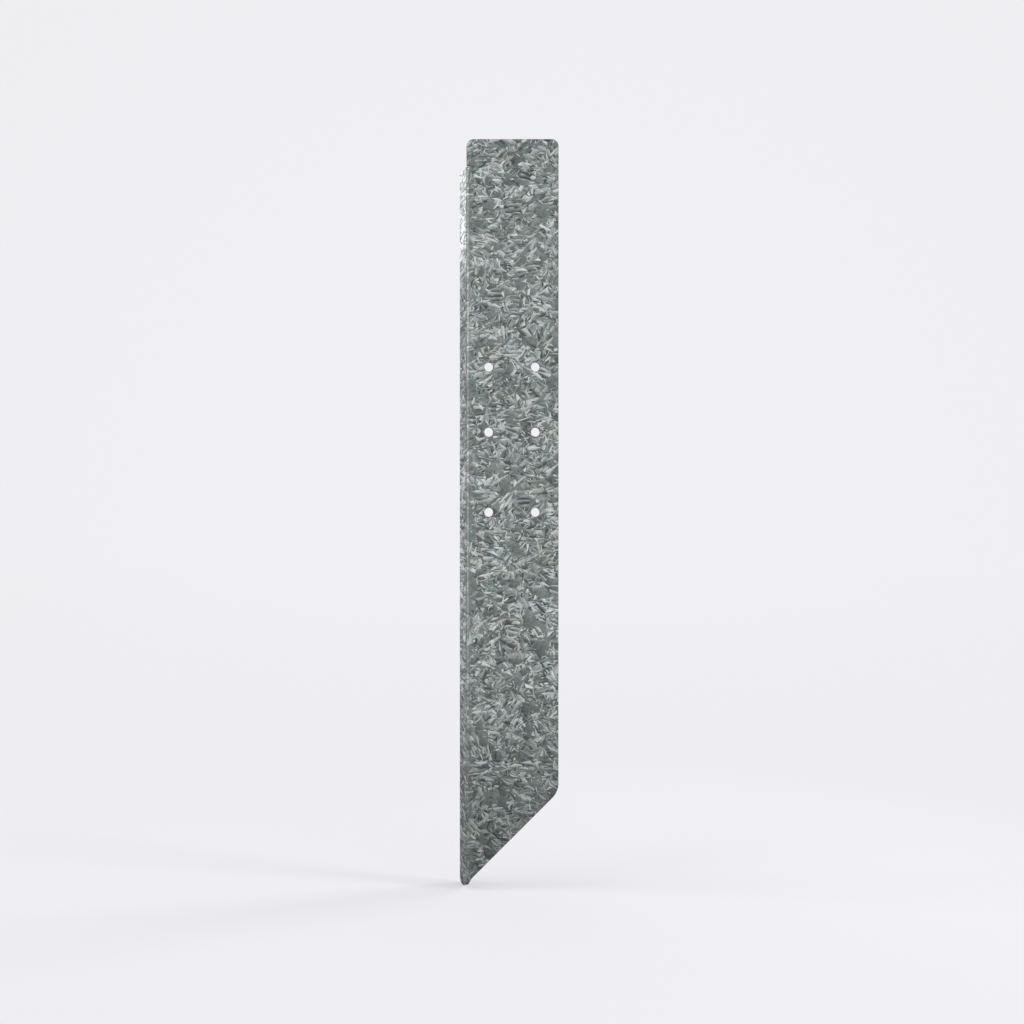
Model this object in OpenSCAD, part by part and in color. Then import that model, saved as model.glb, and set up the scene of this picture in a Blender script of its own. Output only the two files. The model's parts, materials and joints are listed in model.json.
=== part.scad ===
// Fence post repair stake: one steel sheet, folded once to an L section.
// The wide plate stands in front and the narrow flange runs back from its left edge.
// The plate is screwed to a post through its holes, and the slanted end is driven into the ground.
// Origin: middle of the bounding box, at its base. +X to the right, +Y from the plate to the
// flange's free edge, +Z up to the driven end.

/* [Sheet] */
// Thickness of the sheet
sheet_t = 2.5; // [2:0.1:3]
// Radius inside the fold
fold_r = 1; // [0.5:0.1:2]

/* [Plate] */
// Width of the plate, over the flange's outer face
plate_w = 91.5; // [88:0.5:110]
// Height from the lowest point of the tip to the driven end
stake_h = 750; // [600:5:900]
// Radius of the two corners at the driven end
top_corner_r = 7; // [3:0.5:12]
// Radius of the shoulder, where the straight edge turns into the slanted one
shoulder_r = 20; // [10:1:30]
// Height at which the slanted edge would cross the flange's outer face
slant_foot_h = 7; // [5:0.5:12]

/* [Flange] */
// Depth of the flange, over the plate's front face
flange_d = 35; // [30:1:50]
// Distance from the driven end down to the flange
flange_drop = 27; // [15:1:60]
// Radius of the flange's upper free corner
flange_top_r = 1.5; // [0.5:0.5:4]
// Radius of the flange's lower free corner
flange_toe_r = 8; // [4:1:10]
// Height of the flange's lower edge where it leaves the fold
toe_rise = 4.5; // [2:0.5:5]
// Depth at which the flange's lower edge comes down to the lowest point
toe_d = 20; // [15:1:20]

/* [Screw holes] */
// Diameter of a hole, a clearance hole for an 8 mm screw
hole_d = 9; // [6:0.5:11]
// Distance between the two columns
column_gap = 46.5; // [40:0.5:50]
// Distance from the plate's free edge to the nearer column
column_inset = 23; // [15:0.5:25]
// Distance from the driven end to the top row
row_drop = 227.5; // [100:2.5:250]
// Distance from the top row to the middle row
upper_row_gap = 65; // [40:1:80]
// Distance from the middle row to the bottom row
lower_row_gap = 80; // [40:1:100]

/* [Hidden] */
$fn = 96;

// Zinc as it looks in soft light
zinc_grey = [0.56, 0.58, 0.57];
// How far a cutter passes the faces that it cuts
cut_past = 1;
// Steps in which the point's outline goes round the fold
fold_steps = 9;

fold_outer_r = fold_r + sheet_t;
quarter_turn = 90;
slant_angle = 45;

// The outer faces of the bounding box
left_x = -plate_w / 2;
right_x = plate_w / 2;
front_y = -flange_d / 2;
back_y = flange_d / 2;

flange_top_z = stake_h - flange_drop;
// A slant of 45 degrees rises by as much as it runs
shoulder_z = slant_foot_h + plate_w;
fold_start_z = slant_foot_h + fold_outer_r;

column_x = [right_x - column_inset - column_gap, right_x - column_inset];
row_z = [
    stake_h - row_drop,
    stake_h - row_drop - upper_row_gap,
    stake_h - row_drop - upper_row_gap - lower_row_gap
];

// The plate's outline, with x along the width and y up
module plate_outline() {
    // Distance from the shoulder's corner to the ends of its arc
    shoulder_run = shoulder_r * tan(slant_angle / 2);
    left_edge = fold_outer_r;
    difference() {
        union() {
            // Above the flange the plate keeps its full width
            translate([0, flange_top_z])
                square([plate_w, flange_drop - top_corner_r]);
            translate([top_corner_r, flange_top_z])
                square([plate_w - 2 * top_corner_r, flange_drop]);
            for (x = [top_corner_r, plate_w - top_corner_r])
                translate([x, stake_h - top_corner_r]) circle(top_corner_r);
            // Beside the flange it starts where the fold ends
            polygon([
                [left_edge, fold_start_z],
                [plate_w, shoulder_z],
                [plate_w, flange_top_z],
                [left_edge, flange_top_z]
            ]);
        }
        shoulder_waste(shoulder_run);
    }
}

// What the shoulder's arc takes off its corner
module shoulder_waste(run) {
    difference() {
        polygon([
            [plate_w + cut_past, shoulder_z + run],
            [plate_w + cut_past, shoulder_z - cut_past],
            [plate_w - run * cos(slant_angle), shoulder_z - run * sin(slant_angle)],
            [plate_w - shoulder_r, shoulder_z + run]
        ]);
        translate([plate_w - shoulder_r, shoulder_z + run]) circle(shoulder_r);
    }
}

module plate() {
    translate([left_x, front_y + sheet_t, 0])
        rotate([quarter_turn, 0, 0])
            linear_extrude(sheet_t) plate_outline();
}

// The flange's outline, with x back from the plate's front face and y up
module flange_outline() {
    difference() {
        polygon([
            [fold_outer_r, toe_rise],
            [toe_d, 0],
            [flange_d, 0],
            [flange_d, flange_top_z],
            [fold_outer_r, flange_top_z]
        ]);
        corner_waste([flange_d, 0], flange_toe_r, -1);
        corner_waste([flange_d, flange_top_z], flange_top_r, 1);
    }
}

// What a round takes off a square corner of the flange; side is 1 at the top and -1 at the bottom
module corner_waste(corner, r, side) {
    centre = [corner[0] - r, corner[1] - side * r];
    difference() {
        translate([centre[0], side > 0 ? centre[1] : centre[1] - r - cut_past])
            square([r + cut_past, r + cut_past]);
        translate(centre) circle(r);
    }
}

module flange() {
    translate([left_x + sheet_t, front_y, 0])
        rotate([quarter_turn, 0, quarter_turn])
            translate([0, 0, -sheet_t])
                linear_extrude(sheet_t) flange_outline();
}

// The quarter bend that joins the plate and the flange. Its foot rises evenly from the flange's
// lower edge to the plate's slanted one, so a block cuts each next step a little higher.
module fold() {
    step_angle = quarter_turn / fold_steps;
    step_rise = (fold_start_z - toe_rise) / fold_steps;
    reach = fold_outer_r + cut_past;
    translate([left_x + fold_outer_r, front_y + fold_outer_r, 0])
        rotate([0, 0, 2 * quarter_turn])
            difference() {
                rotate_extrude(angle = quarter_turn)
                    translate([fold_r, toe_rise])
                        square([sheet_t, flange_top_z - toe_rise]);
                for (i = [1 : fold_steps - 1])
                    rotate([0, 0, step_angle * i])
                        translate([0, 0, toe_rise - cut_past])
                            cube([reach, reach, cut_past + step_rise * i]);
            }
}

module screw_holes() {
    for (x = column_x, z = row_z)
        translate([x, front_y - cut_past, z])
            rotate([-quarter_turn, 0, 0])
                cylinder(d = hole_d, h = sheet_t + 2 * cut_past);
}

module folded_stake() {
    color(zinc_grey)
        difference() {
            union() {
                plate();
                fold();
                flange();
            }
            screw_holes();
        }
}

folded_stake();
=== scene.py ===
"""Fence post repair stake: one spangled zinc-coated steel sheet, cut, pierced and folded once.

The sheet is drawn flat as a blank, given rounded sheared edges, and then folded round the CAD
model's corner. Every length is in metres, in the CAD model's frame.
"""
import json
import math
from collections import namedtuple

import bpy
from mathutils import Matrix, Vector, geometry

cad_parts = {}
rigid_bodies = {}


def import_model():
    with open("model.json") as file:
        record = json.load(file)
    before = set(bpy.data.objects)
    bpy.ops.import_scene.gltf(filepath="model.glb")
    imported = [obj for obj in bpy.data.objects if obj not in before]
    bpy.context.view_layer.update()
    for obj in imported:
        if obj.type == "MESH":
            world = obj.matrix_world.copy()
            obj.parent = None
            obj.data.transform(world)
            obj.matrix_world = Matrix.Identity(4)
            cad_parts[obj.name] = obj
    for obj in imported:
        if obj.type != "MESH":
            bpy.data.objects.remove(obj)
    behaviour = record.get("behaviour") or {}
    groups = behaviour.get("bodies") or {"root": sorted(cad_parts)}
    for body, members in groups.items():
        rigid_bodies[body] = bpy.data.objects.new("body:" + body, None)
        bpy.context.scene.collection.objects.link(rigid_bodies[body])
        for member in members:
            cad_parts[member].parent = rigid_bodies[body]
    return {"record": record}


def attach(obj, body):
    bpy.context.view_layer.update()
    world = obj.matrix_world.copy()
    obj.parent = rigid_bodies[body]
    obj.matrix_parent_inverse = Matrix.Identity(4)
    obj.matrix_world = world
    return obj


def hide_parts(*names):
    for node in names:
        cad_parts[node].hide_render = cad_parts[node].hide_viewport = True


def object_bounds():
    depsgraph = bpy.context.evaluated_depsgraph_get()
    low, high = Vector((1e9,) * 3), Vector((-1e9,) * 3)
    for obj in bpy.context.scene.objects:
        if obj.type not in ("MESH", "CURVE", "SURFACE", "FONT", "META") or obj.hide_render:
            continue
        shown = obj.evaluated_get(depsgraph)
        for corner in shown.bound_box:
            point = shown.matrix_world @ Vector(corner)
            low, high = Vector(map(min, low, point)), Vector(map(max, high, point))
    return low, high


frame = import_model()
cad_low, cad_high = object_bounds()
MM = 0.001

# ---------------------------------------------------------------------------------------------
# Sizes of the sheet. The outer ones and the holes come from the frame.
# ---------------------------------------------------------------------------------------------
LEFT_X, FRONT_Y, BASE_Z = cad_low
RIGHT_X, BACK_Y, TOP_Z = cad_high
PLATE_W = RIGHT_X - LEFT_X
FLANGE_D = BACK_Y - FRONT_Y

MOUNTS = {m["name"]: m for m in frame["record"]["mounts"]}
PLATE_BACK_Y = MOUNTS["plate_back"]["pos_m"][1]
SHEET_T = PLATE_BACK_Y - FRONT_Y
FOLD_OUTER_R = 3.5 * MM
FOLD_ARC = FOLD_OUTER_R * math.pi / 2

FLANGE_DROP = 27 * MM
FLANGE_TOP_Z = TOP_Z - FLANGE_DROP
# The slit that lets the flange fold while the plate above it stays flat
SLIT_H = 0.5 * MM
# Height above the base at which the plate's slanted edge meets the fold
FOLD_START_H = 10.5 * MM
# Depth at which the flange's lower edge comes down to the base
TOE_D = 20 * MM

# Radii of the blank's corners
TOP_CORNER_R = 7 * MM
SLIT_MOUTH_R = 0.6 * MM
SLIT_END_R = 0.24 * MM
FLANGE_TOP_R = 1.5 * MM
TOE_R = 8 * MM
HEEL_R = 15 * MM
FOLD_FOOT_R = 8 * MM
SHOULDER_R = 20 * MM

# The blank lies flat with u across it and z up it. u is 0 where the plate meets the fold, positive
# over the plate, and runs on round the fold's outer face and back along the flange.
PLATE_U = PLATE_W - FOLD_OUTER_R
TAB_U = -FOLD_OUTER_R
FREE_U = -FOLD_ARC - (FLANGE_D - FOLD_OUTER_R)
TOE_U = -FOLD_ARC - (TOE_D - FOLD_OUTER_R)
BLANK_CORNERS = [
    (TAB_U, TOP_Z, TOP_CORNER_R),
    (TAB_U, FLANGE_TOP_Z + SLIT_H, SLIT_MOUTH_R),
    (0, FLANGE_TOP_Z + SLIT_H, SLIT_END_R),
    (0, FLANGE_TOP_Z, SLIT_END_R),
    (FREE_U, FLANGE_TOP_Z, FLANGE_TOP_R),
    (FREE_U, BASE_Z, TOE_R),
    (TOE_U, BASE_Z, HEEL_R),
    (-FOLD_ARC, BASE_Z + FOLD_START_H - FOLD_ARC, FOLD_FOOT_R),
    (PLATE_U, BASE_Z + FOLD_START_H + PLATE_U, SHOULDER_R),
    (PLATE_U, TOP_Z, TOP_CORNER_R),
]

# How finely the mesh is made. GRID_GAP keeps the even grid's points off the edges.
EDGE_CHORD = 0.5 * MM
GRID = 9 * MM
GRID_GAP = GRID / 4
ARC_STEPS_LEAST = 3
HOLE_STEPS = 56
FOLD_COLUMNS = 10
MERGE_GAP = 1e-7

# Radii of the rounds along the cut edges, at the front face and at the back one
FRONT_ROLL = 0.45 * MM
BACK_ROLL = 0.22 * MM
ROLL_STEPS = 4

# How much more a large face counts than a small one in the smooth shading: as much as it can
LARGE_FACE_WEIGHT = 100

# The plate stands off its flat in two waves: share of BOW_H, radians up the whole plate, radians
# over its width, and radians to start from. They fade out toward the fold.
BOW_H = 0.16 * MM
BOW_WAVES = ((1.0, 5.1, 0.0, 0.6), (0.6, 13.0, 4.0, 1.1))
BOW_FADE = 20 * MM


def hole_places():
    """Centre (u, z) and radius of every screw hole, from the record's two bolt patterns."""
    places = []
    for name in ("upper_screws", "lower_screws"):
        mount = MOUNTS[name]
        dims = mount["dims"]
        half_u = dims["spacing_x_mm"] * MM / 2
        half_z = dims.get("spacing_y_mm", 0) * MM / 2
        centre_u = mount["pos_m"][0] - LEFT_X - FOLD_OUTER_R
        centre_z = mount["pos_m"][2]
        rows = (-half_z, half_z) if half_z else (0,)
        for dz in rows:
            for du in (-half_u, half_u):
                places.append((centre_u + du, centre_z + dz, dims["hole_r_mm"] * MM))
    return places


# ---------------------------------------------------------------------------------------------
# The flat blank
# ---------------------------------------------------------------------------------------------
def rounded_outline(corners, chord):
    """Points and inward normals along a closed outline of (u, z, radius) corners, anticlockwise."""
    points, normals = [], []
    for i, (u, z, radius) in enumerate(corners):
        here = Vector((u, z))
        before = Vector(corners[i - 1][:2])
        after = Vector(corners[(i + 1) % len(corners)][:2])
        along_in = (here - before).normalized()
        along_out = (after - here).normalized()
        turn = math.atan2(along_in.cross(along_out), along_in.dot(along_out))
        start = here - along_in * radius * math.tan(abs(turn) / 2)
        side = math.copysign(1, turn)
        centre = start + Vector((-along_in.y, along_in.x)) * radius * side
        steps = max(ARC_STEPS_LEAST, round(abs(turn) * radius / chord))
        first = math.atan2(start.y - centre.y, start.x - centre.x)
        for k in range(steps + 1):
            angle = first + turn * k / steps
            outward = Vector((math.cos(angle), math.sin(angle)))
            points.append(centre + outward * radius)
            normals.append(-outward * side)
    return points, normals


def spread_long_edges(points, normals, longest):
    """Adds points along straight stretches, so that the sheet can bow a little."""
    new_points, new_normals = [], []
    for i, point in enumerate(points):
        after = points[(i + 1) % len(points)]
        new_points.append(point)
        new_normals.append(normals[i])
        steps = math.ceil((after - point).length / longest)
        for k in range(1, steps):
            new_points.append(point.lerp(after, k / steps))
            new_normals.append(normals[i])
    return new_points, new_normals


def circle_outline(u, z, radius, steps):
    """Points round a hole, with normals that point away from its middle, into the metal."""
    points, normals = [], []
    for k in range(steps):
        angle = 2 * math.pi * k / steps
        outward = Vector((math.cos(angle), math.sin(angle)))
        points.append(Vector((u, z)) + outward * radius)
        normals.append(outward)
    return points, normals


def edge_profile():
    """(inset from the cut edge, depth from the front face) of each ring round the edge, from the
    front face to the back one."""
    front, back = [], []
    for k in range(ROLL_STEPS + 1):
        a = math.pi / 2 * k / ROLL_STEPS
        front.append((FRONT_ROLL * (1 - math.sin(a)), FRONT_ROLL * (1 - math.cos(a))))
        back.append((BACK_ROLL * (1 - math.cos(a)), SHEET_T - BACK_ROLL * (1 - math.sin(a))))
    return front + back


def inside(point, loop):
    """Whether a point is inside a closed loop of points."""
    found = False
    for i, b in enumerate(loop):
        a = loop[i - 1]
        if (a.y > point.y) != (b.y > point.y):
            if point.x < (b.x - a.x) * (point.y - a.y) / (b.y - a.y) + a.x:
                found = not found
    return found


def on_metal(point, loops):
    """Whether a point is on the blank and outside its holes."""
    return inside(point, loops[0]) and not any(inside(point, hole) for hole in loops[1:])


def is_clear(point, loops, gap):
    """Whether a point is at least gap away from every loop's points."""
    return all((point - p).length >= gap for loop in loops for p in loop)


def grid_points(loops):
    """An even grid of points over the metal, with closer columns round the fold."""
    columns = [-FOLD_ARC * k / FOLD_COLUMNS for k in range(FOLD_COLUMNS + 1)]
    columns += [GRID * k for k in range(1, math.ceil(PLATE_U / GRID))]
    flange_columns = math.ceil((FLANGE_D - FOLD_OUTER_R) / GRID)
    columns += [-FOLD_ARC - GRID * k for k in range(1, flange_columns)]
    rows = [BASE_Z + GRID * k for k in range(1, math.ceil((TOP_Z - BASE_Z) / GRID))]
    grid = [Vector((u, z)) for u in columns for z in rows]
    return [p for p in grid if on_metal(p, loops) and is_clear(p, loops, GRID_GAP)]


def flat_triangles(loops):
    """Points and triangles over the blank. The loops' points come first, then an even grid's."""
    points = [p for loop in loops for p in loop]
    edges, first = [], 0
    for loop in loops:
        edges += [(first + i, first + (i + 1) % len(loop)) for i in range(len(loop))]
        first += len(loop)
    points += grid_points(loops)
    made, _, triangles, sources, _, _ = geometry.delaunay_2d_cdt(points, edges, [], 0, MERGE_GAP)
    if len(made) != len(points):
        raise ValueError("the blank's triangulation moved or merged points")
    kept = []
    for a, b, c in triangles:
        if on_metal((made[a] + made[b] + made[c]) / 3, loops):
            if (made[b] - made[a]).cross(made[c] - made[a]) < 0:
                b, c = c, b
            kept.append([sources[i][0] for i in (a, b, c)])
    return points, kept


# ---------------------------------------------------------------------------------------------
# Folding
# ---------------------------------------------------------------------------------------------
def bow(u, z):
    """How far the plate stands off its flat, as rolled and galvanised sheet does."""
    up = (z - BASE_Z) / (TOP_Z - BASE_Z)
    across = u / PLATE_W
    waves = (
        share * math.sin(per_up * up + per_across * across + start)
        for share, per_up, per_across, start in BOW_WAVES
    )
    return BOW_H * sum(waves) * min(1, u / BOW_FADE)


def folded(u, z, depth):
    """Where a point of the blank goes. depth is measured in from the front face."""
    depth += bow(max(u, 0), z)
    if u >= 0 or z > FLANGE_TOP_Z + SLIT_H / 2:
        return (LEFT_X + FOLD_OUTER_R + u, FRONT_Y + depth, z)
    if u >= -FOLD_ARC:
        turn = -u / FOLD_ARC * math.pi / 2
        radius = FOLD_OUTER_R - depth
        x = LEFT_X + FOLD_OUTER_R - radius * math.sin(turn)
        return (x, FRONT_Y + FOLD_OUTER_R - radius * math.cos(turn), z)
    return (LEFT_X + depth, FRONT_Y + FOLD_OUTER_R - u - FOLD_ARC, z)


def edge_quads(loops, ring_count):
    """Quads between neighbouring rings, round every loop. A ring has all the loops' points."""
    rim_count = sum(len(points) for points, _ in loops)
    quads, first = [], 0
    for k_loop, (points, _) in enumerate(loops):
        count = len(points)
        for i in range(count):
            j = (i + 1) % count
            for k in range(ring_count - 1):
                low = k * rim_count + first
                high = low + rim_count
                quad = [low + j, low + i, high + i, high + j]
                quads.append(quad if k_loop == 0 else quad[::-1])
        first += count
    return quads


def sheet_mesh():
    """The folded sheet's verts and faces, and for each vert whether it is on a cut edge."""
    outline, outline_in = rounded_outline(BLANK_CORNERS, EDGE_CHORD)
    loops = [spread_long_edges(outline, outline_in, GRID / 2)]
    loops += [circle_outline(u, z, r, HOLE_STEPS) for u, z, r in hole_places()]
    rim = [pair for points, normals in loops for pair in zip(points, normals)]
    profile = edge_profile()

    verts, cut = [], []
    last_ring = len(profile) - 1
    for k, (inset, depth) in enumerate(profile):
        for point, inward in rim:
            u, z = point + inward * inset
            verts.append(folded(u, z, depth))
            cut.append(float(0 < k < last_ring))

    # The flat faces are laid out on the loops as they are where the front face begins to roll
    face_inset = profile[0][0]
    inset_loops = [[p + n * face_inset for p, n in zip(*loop)] for loop in loops]
    points, triangles = flat_triangles(inset_loops)
    inner = points[len(rim):]
    faces = []
    for depth, ring, order in ((0, 0, (0, 1, 2)), (SHEET_T, last_ring, (0, 2, 1))):
        ring_first, inner_first = ring * len(rim), len(verts) - len(rim)
        verts += [folded(p.x, p.y, depth) for p in inner]
        cut += [0.0] * len(inner)
        for triangle in triangles:
            corners = [triangle[i] for i in order]
            faces.append([i + (ring_first if i < len(rim) else inner_first) for i in corners])
    return verts, faces + edge_quads(loops, len(profile)), cut


def build_stake():
    verts, faces, cut = sheet_mesh()
    mesh = bpy.data.meshes.new("folded_sheet")
    mesh.from_pydata(verts, [], faces)
    mesh.validate()
    mesh.shade_smooth()
    mesh.attributes.new("cut_edge", "FLOAT", "POINT").data.foreach_set("value", cut)
    stake = bpy.data.objects.new("folded_sheet", mesh)
    bpy.context.scene.collection.objects.link(stake)
    weighted = stake.modifiers.new("even_normals", "WEIGHTED_NORMAL")
    weighted.weight = LARGE_FACE_WEIGHT
    return stake


# ---------------------------------------------------------------------------------------------
# Node trees
# ---------------------------------------------------------------------------------------------
class Nodes:
    """Short calls for building a node tree. A value may be a number, a colour or a socket."""

    def __init__(self, tree):
        self.tree = tree
        self.tree.nodes.clear()

    def new(self, kind, inputs=(), **settings):
        node = self.tree.nodes.new(kind)
        for name, value in settings.items():
            setattr(node, name, value)
        for name, value in dict(inputs).items():
            self.put(node.inputs[name], value)
        return node

    def put(self, socket, value):
        if isinstance(value, bpy.types.NodeSocket):
            self.tree.links.new(value, socket)
        else:
            socket.default_value = value

    def math(self, operation, a, b=0.0):
        node = self.new("ShaderNodeMath", operation=operation)
        self.put(node.inputs[0], a)
        self.put(node.inputs[1], b)
        return node.outputs[0]

    def add(self, a, b):
        return self.math("ADD", a, b)

    def minus(self, a, b):
        return self.math("SUBTRACT", a, b)

    def times(self, a, b):
        return self.math("MULTIPLY", a, b)

    def vector(self, operation, a, b=(0, 0, 0)):
        node = self.new("ShaderNodeVectorMath", operation=operation)
        self.put(node.inputs[0], a)
        self.put(node.inputs[1], b)
        return node.outputs[0]

    def length(self, vector):
        node = self.new("ShaderNodeVectorMath", operation="LENGTH")
        self.put(node.inputs[0], vector)
        return node.outputs["Value"]

    def join(self, x, y, z):
        return self.new("ShaderNodeCombineXYZ", {"X": x, "Y": y, "Z": z}).outputs[0]

    def split(self, vector):
        return self.new("ShaderNodeSeparateXYZ", {"Vector": vector}).outputs[:]

    def mix(self, factor, a, b):
        """A colour between a and b."""
        node = self.new("ShaderNodeMix", data_type="RGBA")
        for i, value in ((0, factor), (6, a), (7, b)):
            self.put(node.inputs[i], value)
        return node.outputs[2]

    def blend(self, factor, a, b):
        """A plain number between a and b."""
        node = self.new("ShaderNodeMix", data_type="FLOAT")
        for i, value in ((0, factor), (2, a), (3, b)):
            self.put(node.inputs[i], value)
        return node.outputs[0]

    def span(self, value, from_low, from_high, to_low=0.0, to_high=1.0, smooth=False):
        """Maps one range to another and stays within it."""
        node = self.new("ShaderNodeMapRange", clamp=True)
        if smooth:
            node.interpolation_type = "SMOOTHSTEP"
        for i, v in enumerate((value, from_low, from_high, to_low, to_high)):
            self.put(node.inputs[i], v)
        return node.outputs[0]

    def noise(self, vector, scale, detail=2.0):
        """The noise node's outputs: a number and a colour, both mostly between 0.3 and 0.7."""
        inputs = {"Vector": vector, "Scale": scale, "Detail": detail}
        return self.new("ShaderNodeTexNoise", inputs).outputs

    def cells(self, vector, scale):
        return self.new("ShaderNodeTexVoronoi", {"Vector": vector, "Scale": scale}).outputs

    def end_in(self, output, shader):
        """Ends the tree in an output node."""
        self.put(self.new(output).inputs["Surface"], shader.outputs[0])


def new_material(name):
    material = bpy.data.materials.new(name)
    material.use_nodes = True
    return material, Nodes(material.node_tree)


# ---------------------------------------------------------------------------------------------
# Zinc. A tone is a grey between 0 and 1, a scale is in waves a metre, and a pair is from and to.
# ---------------------------------------------------------------------------------------------
NOISE_RANGE = (0.3, 0.7)
NOISE_MIDDLE = (0.5, 0.5, 0.5)

# Sheet coordinates
FLANGE_STRETCH = 0.5
INNER_STEP = 0.31

# Crystal edges are a little curved
WANDER_SCALE = 220.0
WANDER_DETAIL = 1.0
WANDER = (1.0 * MM, 1.0 * MM, 0.0)

# Ground crystals with a faint painted shade across each, and the grain and the small facets on them
GROUND_SIZE = 12 * MM
GROUND_STEP = 0.09
GROUND_SHADE_SLOPE = 0.06
GRAIN_SCALE = 700.0
GRAIN_TONES = (0.135, 0.185)
FACET_SIZE = 2.2 * MM
FACET_TONES = (-0.035, 0.045)

# Some ground crystals stay nearly bare, and the others are full of shards
BUSY_RANGE = (0.05, 0.4)
BUSY_SHARES = (0.22, 1.0)

# Layers of shards, from broad dull ones to slim bright ones. parent is the size of the crystals
# that hold them, share says how many there are, fans is the share of crystals where they spread
# like a fan, and step gives each layer crystals of its own.
Layer = namedtuple("Layer", "parent length width share darkest brightest fans step")
LAYERS = (
    Layer(29 * MM, 28 * MM, 11.0 * MM, 0.75, 0.13, 0.44, 0.20, 1.3),
    Layer(21 * MM, 21 * MM, 6.9 * MM, 1.00, 0.10, 0.68, 0.25, 2.7),
    Layer(16 * MM, 15 * MM, 4.6 * MM, 1.00, 0.09, 0.90, 0.30, 4.9),
    Layer(10 * MM, 9 * MM, 2.8 * MM, 0.50, 0.09, 0.86, 0.30, 6.1),
)
SHARE_RANGE = (0.1, 0.9)
SHARE_SPREAD = (0.42, 1.4)

# How shards lie: the lean of most crystals and of the steepest ones in radians, how far off its
# seed a fan starts, as a share of its crystal's size, and how wide it opens
LEAN = 0.7
STEEP_LEAN = 0.8
FAN_REACH = 0.3
FAN_SPREAD = 0.5

# A shard's outline, in shares of its layer's width: half its width at its seed, how much that
# falls for each width along it, how far it slants, how soft its edge is, and the least half width
# that the painted shade across it is measured with
SHARD_HALF = 0.30
SHARD_TAPER = 0.45
SHARD_TILT = 2.6
SHARD_EDGE = (-0.04, 0.06)
SHARD_TIP = 0.05

# A shard's grey: its own random part, and a painted shade across its width, lighter on one side
# and darker on the other, as a tilted facet would be lit
OWN_GREY = 0.8
SHADE_RAMP_GREY = 0.2
GREY_POWER = 1.1

# On the flange the zinc has level runs and a stronger contrast about a pivot tone
FLANGE_START = (2 * MM, 8 * MM)
RUN_SQUEEZE = 0.12
RUN_SCALE = 300.0
RUN_GAINS = (0.5, 1.5)
PIVOT_TONE = 0.20
FLANGE_CONTRAST = 1.6
FLANGE_TONES = (0.03, 0.95)

# The bend has stretched the zinc, which evens its crystals out
BEND_END_X = 5.0 * MM
BEND_END_Y = 6.0 * MM
BEND_SHARE = 0.42
BEND_TONE = 0.27

# The sheared edges and the punched holes' rims are duller and darker, unevenly so
WEAR_SCALE = 260.0
WEAR_DETAIL = 3.0
WEAR_RANGE = (0.35, 0.65)
WEAR_SHARES = (0.45, 1.0)
WEAR_TONES = (0.10, 0.18)
WEAR_ROUGHNESS = 0.2

# Dark crystals are greener than bright ones, and the tint drifts over the sheet
TINT_RANGE = (0.12, 0.55)
DARK_TINT = (0.852, 1.0, 0.930, 1)
BRIGHT_TINT = (0.930, 1.0, 0.960, 1)
DRIFT_SCALE = 58.0
DRIFT = (0.19, 0.0, 0.21)

# The surface
ROUGHNESS_RANGE = (0.12, 0.6)
ROUGHNESSES = (0.28, 0.14)
BUMP_STRENGTH = 0.08
BUMP_H = 0.2 * MM
METALLIC = 0.9
SPECULAR_TINT = (0.60, 0.60, 0.60, 1)


def sheet_coordinates(n):
    """(u, z, side) of a point, and its plain (x, y, z). u is the distance round the sheet. It runs
    slower over the flange, which draws the crystals out along its depth. side differs between the
    sheet's outer and inner faces, which gives them crystals of their own."""
    x, y, z = n.split(n.new("ShaderNodeTexCoord").outputs["Object"])
    normal_x, normal_y, _ = n.split(n.new("ShaderNodeNewGeometry").outputs["True Normal"])
    is_inner = n.math("GREATER_THAN", n.add(normal_x, normal_y), 0.0)
    u = n.minus(x, n.times(y, FLANGE_STRETCH))
    return n.join(u, z, n.times(is_inner, INNER_STEP)), (x, y, z)


def crystals(n, place, size, step):
    """Crystals of about that size: three random values, and the vector from the crystal's seed."""
    x, y, _ = n.split(place)
    where = n.join(x, y, step)
    cell = n.cells(where, 1 / size)
    off = n.split(n.vector("SUBTRACT", where, cell["Position"]))[:2]
    return n.split(cell["Color"]), off


def side_by_side(n, place, random):
    """place along and across a crystal's own direction. More of them are near level than near
    upright."""
    lean = n.times(n.minus(random, 0.5), 2)
    steep = n.times(n.math("POWER", lean, 3), STEEP_LEAN)
    angle = n.add(n.times(lean, LEAN), steep)
    c, s = n.math("COSINE", angle), n.math("SINE", angle)
    x, y, _ = n.split(place)
    along = n.add(n.times(x, c), n.times(y, s))
    across = n.minus(n.times(y, c), n.times(x, s))
    return along, across


def fan(n, off, random, layer):
    """The distance out from a fan's start, and the distance across its opening."""
    apex = n.times(random, 2 * math.pi)
    reach = layer.parent * FAN_REACH
    x = n.add(off[0], n.times(n.math("COSINE", apex), reach))
    y = n.add(off[1], n.times(n.math("SINE", apex), reach))
    turn = n.math("ARCTAN2", y, x)
    return n.length(n.join(x, y, 0.0)), n.times(turn, layer.length * FAN_SPREAD)


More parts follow.
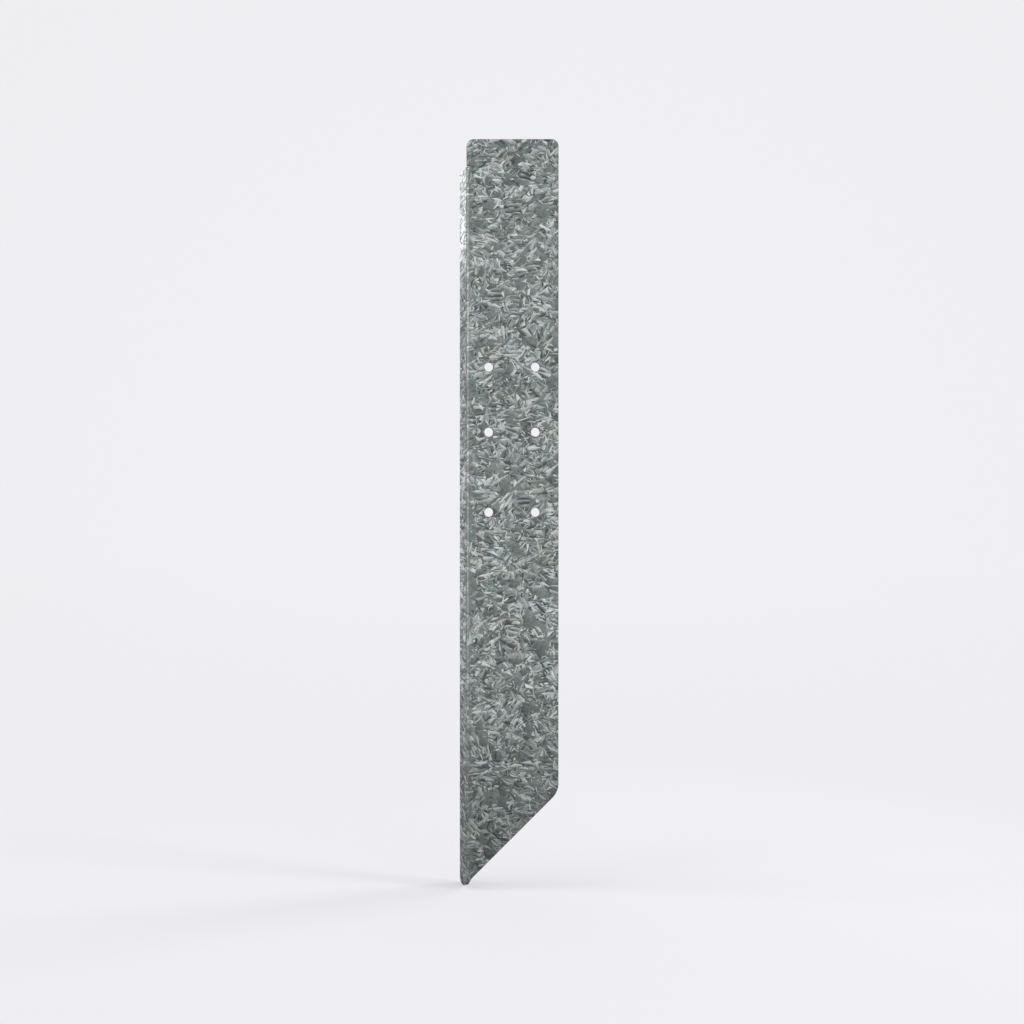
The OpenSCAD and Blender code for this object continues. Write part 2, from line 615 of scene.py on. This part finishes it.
def shards(n, place, side, layer):
    """A layer's slim pointed shards inside their parent crystals: where they are, each one's three
    random values, a painted shade of -1 to 1 across its width, and the parent's second random
    value."""
    parent, off = crystals(n, place, layer.parent, n.add(side, layer.step))
    along, across = side_by_side(n, place, parent[0])
    out, round_it = fan(n, off, parent[1], layer)
    is_fan = n.math("GREATER_THAN", parent[2], 1 - layer.fans)
    along = n.blend(is_fan, along, out)
    across = n.blend(is_fan, across, round_it)

    slim = n.times(along, layer.width / layer.length)
    where = n.join(slim, across, n.add(side, parent[1]))
    cell = n.cells(where, 1 / layer.width)
    random = n.split(cell["Color"])
    off = n.vector("SUBTRACT", where, cell["Position"])
    off_along, off_across, _ = n.split(n.vector("MULTIPLY", off, (1 / layer.width,) * 3))
    tilt = n.times(n.minus(random[2], 0.5), SHARD_TILT)
    off_across = n.add(off_across, n.times(off_along, tilt))
    points_back = n.minus(n.times(n.math("GREATER_THAN", random[1], 0.5), 2), 1)
    half = n.minus(SHARD_HALF, n.times(n.times(off_along, points_back), SHARD_TAPER))
    within = n.span(n.minus(half, n.math("ABSOLUTE", off_across)), *SHARD_EDGE)
    # Painted shade: -1 to 1 across the shard, as on a tilted facet lit from one side
    shade_ramp = n.math("DIVIDE", off_across, n.math("MAXIMUM", half, SHARD_TIP))
    return within, random, shade_ramp, parent[1]


def ground_tone(n, place, ground, off, grain):
    """The tone of the flat ground crystals, each with a faint painted shade across it, as a tilted
    facet would be lit, and with grain and small facets.
    """
    # Painted shade: the tone falls faintly across each ground crystal, as a tilted facet would be
    # lit
    shade_slope = n.times(n.add(off[0], off[1]), 1 / GROUND_SIZE)
    tone = n.add(n.times(ground[1], GROUND_STEP), n.times(shade_slope, GROUND_SHADE_SLOPE))
    tone = n.add(tone, n.span(grain, *NOISE_RANGE, *GRAIN_TONES))
    facet = n.split(n.cells(place, 1 / FACET_SIZE)["Color"])[0]
    return n.add(tone, n.span(facet, 0, 1, *FACET_TONES))


def with_shards(n, tone, place, side, busy):
    """Lays the layers of shards over a tone."""
    for layer in LAYERS:
        within, random, shade_ramp, parent = shards(n, place, side, layer)
        shares = [layer.share * spread for spread in SHARE_SPREAD]
        dense = n.times(n.span(parent, *SHARE_RANGE, *shares), busy)
        here = n.times(within, n.math("LESS_THAN", random[0], dense))
        # Painted shade across each shard, lighter on one side, as a tilted facet would be lit
        grey = n.add(n.times(random[1], OWN_GREY), n.times(shade_ramp, SHADE_RAMP_GREY))
        grey = n.math("POWER", n.math("MAXIMUM", grey, 0.0), GREY_POWER)
        tone = n.blend(here, tone, n.span(grey, 0, 1, layer.darkest, layer.brightest))
    return tone


def with_flange_runs(n, tone, y, z, side):
    """Level runs in the zinc, and a stronger contrast, on the flange only."""
    runs = n.noise(n.join(n.times(y, RUN_SQUEEZE), z, side), RUN_SCALE)[0]
    on_flange = n.span(y, *(FRONT_Y + depth for depth in FLANGE_START))
    tone = n.times(tone, n.blend(on_flange, 1.0, n.span(runs, *NOISE_RANGE, *RUN_GAINS)))
    strong = n.add(n.times(n.minus(tone, PIVOT_TONE), FLANGE_CONTRAST), PIVOT_TONE)
    strong = n.math("MINIMUM", n.math("MAXIMUM", strong, FLANGE_TONES[0]), FLANGE_TONES[1])
    return n.blend(on_flange, tone, strong)


def near_fold(n, x, y, z):
    """1 on the bend and 0 on the flat sheet."""
    over_plate = n.span(x, LEFT_X + FOLD_OUTER_R, LEFT_X + BEND_END_X, 1.0, 0.0)
    over_flange = n.span(y, FRONT_Y + FOLD_OUTER_R, FRONT_Y + BEND_END_Y, 1.0, 0.0)
    below_top = n.math("LESS_THAN", z, FLANGE_TOP_Z)
    return n.times(n.times(over_plate, over_flange), below_top)


def tinted(n, tone, place):
    """The colour of a tone."""
    tint = n.mix(n.span(tone, *TINT_RANGE), DARK_TINT, BRIGHT_TINT)
    drift = n.vector("SUBTRACT", n.noise(place, DRIFT_SCALE)[1], NOISE_MIDDLE)
    tint = n.vector("ADD", tint, n.vector("MULTIPLY", drift, DRIFT))
    return n.vector("MULTIPLY", n.join(tone, tone, tone), tint)


def zinc_material():
    """Ground crystals, shards over them, the flange's runs, the evened bend and the worn edges."""
    material, n = new_material("spangled_zinc")
    place, (x, y, z) = sheet_coordinates(n)
    side = n.split(place)[2]
    wander = n.vector("SUBTRACT", n.noise(place, WANDER_SCALE, WANDER_DETAIL)[1], NOISE_MIDDLE)
    curved = n.vector("ADD", place, n.vector("MULTIPLY", wander, WANDER))
    grain = n.noise(place, GRAIN_SCALE)[0]

    ground, off = crystals(n, curved, GROUND_SIZE, side)
    tone = ground_tone(n, curved, ground, off, grain)
    busy = n.span(ground[0], *BUSY_RANGE, *BUSY_SHARES)
    tone = with_shards(n, tone, curved, side, busy)
    tone = with_flange_runs(n, tone, y, z, side)
    tone = n.blend(n.times(near_fold(n, x, y, z), BEND_SHARE), tone, BEND_TONE)

    cut = n.new("ShaderNodeAttribute", attribute_name="cut_edge").outputs["Fac"]
    uneven = n.noise(place, WEAR_SCALE, WEAR_DETAIL)[0]
    worn = n.times(cut, n.span(uneven, *WEAR_RANGE, *WEAR_SHARES))
    tone = n.blend(worn, tone, n.span(grain, *NOISE_RANGE, *WEAR_TONES))

    roughness = n.span(tone, *ROUGHNESS_RANGE, *ROUGHNESSES)
    bump_inputs = {"Height": tone, "Strength": BUMP_STRENGTH, "Distance": BUMP_H}
    bump = n.new("ShaderNodeBump", bump_inputs)
    shader = n.new(
        "ShaderNodeBsdfPrincipled",
        {
            "Base Color": tinted(n, tone, place),
            "Roughness": n.add(roughness, n.times(worn, WEAR_ROUGHNESS)),
            "Metallic": METALLIC,
            "Specular Tint": SPECULAR_TINT,
            "Normal": bump.outputs[0],
        },
    )
    n.end_in("ShaderNodeOutputMaterial", shader)
    return material


stake = build_stake()
stake.data.materials.append(zinc_material())
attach(stake, "root")
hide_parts("folded_stake")

# ---------------------------------------------------------------------------------------------
# Camera: level, square to the plate, and to the left of it, with the frame shifted over to it
# ---------------------------------------------------------------------------------------------
LENS_MM = 47.15
SENSOR_MM = 36.0
CAMERA_LEFT = 0.2799
CAMERA_AWAY = 1.3385
CAMERA_HEIGHT = 0.3778
FRAME_SHIFT = 0.3179
CAMERA_PLACE = (LEFT_X - CAMERA_LEFT, FRONT_Y - CAMERA_AWAY, BASE_Z + CAMERA_HEIGHT)

scene = bpy.context.scene
scene.view_settings.view_transform = "Standard"
scene.view_settings.look = "None"


def set_camera():
    camera_data = bpy.data.cameras.new("camera")
    camera_data.sensor_width = SENSOR_MM
    camera_data.lens = LENS_MM
    camera_data.shift_x = FRAME_SHIFT
    camera = bpy.data.objects.new("camera", camera_data)
    camera.location = CAMERA_PLACE
    camera.rotation_euler = (math.pi / 2, 0, 0)
    scene.collection.objects.link(camera)
    scene.camera = camera


# ---------------------------------------------------------------------------------------------
# Studio
# ---------------------------------------------------------------------------------------------
# The wall is a little brighter round one direction, out to a distance on the unit sphere
WALL = (0.860, 0.858, 0.884, 1)
WALL_BRIGHT = (0.876, 0.869, 0.908, 1)
WALL_MIDDLE = (0.236, 0.972, 0.0)
WALL_FADE = (0.05, 0.6)

# Near the stake the floor is part paper, and further out only its glow is left. The glow is even
# near the stake, and further out it has the colour of the wall on that side of the stake.
FLOOR_R = 8.0
FLOOR_STEPS = 96
FLOOR = (0.571, 0.568, 0.588, 1)
NEAR_GLOW = (0.870, 0.865, 0.900, 1)
PAPER_SHARE = 0.5
PAPER_FADE = (0.35, 0.85)
GLOW_RANGE = (0.8, 5.0)
GLOW_STRENGTHS = (0.988, 1.0)

# What the zinc mirrors of the floor
SHEEN_R = 1.8
SHEEN_STEPS = 64
SHEEN_DROP = 1 * MM
SHEEN_START = 0.3
SHEEN_STRENGTHS = (0.56, 1.0)

# Lamps that light without a reflection, and cards that show in reflections only. Sizes are in
# metres and power is in watts. Most of them face the stake's middle.
Lamp = namedtuple("Lamp", "name place target width height power")
MIDDLE = (0, 0, 0.35)
LAMPS = (
    Lamp("right_front", (3.0, -1.1, 1.45), MIDDLE, 0.8, 2.0, 68.0),
    Lamp("right_back", (3.0, 1.1, 1.45), MIDDLE, 0.8, 2.0, 68.0),
    Lamp("left_side", (-3.0, 0.0, 1.45), MIDDLE, 0.8, 2.0, 44.0),
    Lamp("left_high", (-0.8, -0.36, 1.8), MIDDLE, 0.4, 0.4, 5.0),
)
CARDS = (
    Lamp("left_card", (-1.42, -0.45, 0.7), MIDDLE, 0.5, 1.8, 5.0),
    Lamp("back_left", (-0.55, 2.4, 1.68), (-0.55, 0.0, 1.68), 0.9, 1.2, 4.8),
)


def wall_colour(n, toward):
    """The wall's colour in a direction."""
    away = n.length(n.vector("SUBTRACT", toward, WALL_MIDDLE))
    return n.mix(n.span(away, *WALL_FADE, smooth=True), WALL_BRIGHT, WALL)


def set_world():
    """A pale wall all round."""
    world = bpy.data.worlds.new("studio")
    scene.world = world
    world.use_nodes = True
    n = Nodes(world.node_tree)
    toward = n.new("ShaderNodeTexCoord").outputs["Generated"]
    background = n.new("ShaderNodeBackground", {"Color": wall_colour(n, toward), "Strength": 1.0})
    n.end_in("ShaderNodeOutputWorld", background)


def floor_place(n):
    """A floor point's place, and its distance from the stake's middle."""
    place = n.new("ShaderNodeTexCoord").outputs["Object"]
    x, y, _ = n.split(place)
    return place, n.length(n.join(x, y, 0.0))


def floor_material():
    """Pale paper with a glow of its own, which keeps the shadows faint. Further out only the glow
    is left, in the wall's colour, so the floor runs into the wall with hardly a line."""
    material, n = new_material("pale_paper")
    place, away = floor_place(n)
    paper = n.new("ShaderNodeBsdfDiffuse", {"Color": FLOOR})
    far_glow = wall_colour(n, n.vector("NORMALIZE", place))
    colour = n.mix(n.span(away, *GLOW_RANGE, smooth=True), NEAR_GLOW, far_glow)
    strength = n.span(away, *GLOW_RANGE, *GLOW_STRENGTHS)
    glow = n.new("ShaderNodeEmission", {"Color": colour, "Strength": strength})
    mixed = n.new("ShaderNodeMixShader")
    n.put(mixed.inputs[0], n.span(away, *PAPER_FADE, PAPER_SHARE, 0.0, smooth=True))
    n.put(mixed.inputs[1], glow.outputs[0])
    n.put(mixed.inputs[2], paper.outputs[0])
    n.end_in("ShaderNodeOutputMaterial", mixed)
    return material


def sheen_material():
    """Less bright than the wall near the stake, and as bright as it further out."""
    material, n = new_material("floor_sheen")
    _, away = floor_place(n)
    strength = n.span(away, SHEEN_START, SHEEN_R, *SHEEN_STRENGTHS)
    glow = n.new("ShaderNodeEmission", {"Color": WALL, "Strength": strength})
    n.end_in("ShaderNodeOutputMaterial", glow)
    return material


def make_disc(name, radius, steps, z, material):
    verts = [(0, 0, z)]
    for k in range(steps):
        angle = 2 * math.pi * k / steps
        verts.append((radius * math.cos(angle), radius * math.sin(angle), z))
    faces = [(0, k + 1, (k + 1) % steps + 1) for k in range(steps)]
    mesh = bpy.data.meshes.new(name)
    mesh.from_pydata(verts, [], faces)
    mesh.materials.append(material)
    disc = bpy.data.objects.new(name, mesh)
    scene.collection.objects.link(disc)
    return disc


def make_floor():
    floor = make_disc("floor", FLOOR_R, FLOOR_STEPS, BASE_Z, floor_material())
    floor.visible_glossy = False


def make_sheen():
    """A disc that shows in reflections only, in place of the floor."""
    z = BASE_Z - SHEEN_DROP
    sheen = make_disc("floor_sheen", SHEEN_R, SHEEN_STEPS, z, sheen_material())
    sheen.visible_camera = False
    sheen.visible_diffuse = False
    sheen.visible_shadow = False


def softbox(lamp):
    light = bpy.data.lights.new(lamp.name, "AREA")
    light.shape = "RECTANGLE"
    light.size, light.size_y = lamp.width, lamp.height
    light.energy = lamp.power
    box = bpy.data.objects.new(lamp.name, light)
    box.location = lamp.place
    toward = Vector(lamp.target) - Vector(lamp.place)
    box.rotation_euler = toward.to_track_quat("-Z", "Y").to_euler()
    box.visible_camera = False
    scene.collection.objects.link(box)
    return box


def make_lights():
    for lamp in LAMPS:
        softbox(lamp).visible_glossy = False
    for card in CARDS:
        softbox(card).visible_diffuse = False


set_world()
make_floor()
make_sheen()
make_lights()
set_camera()
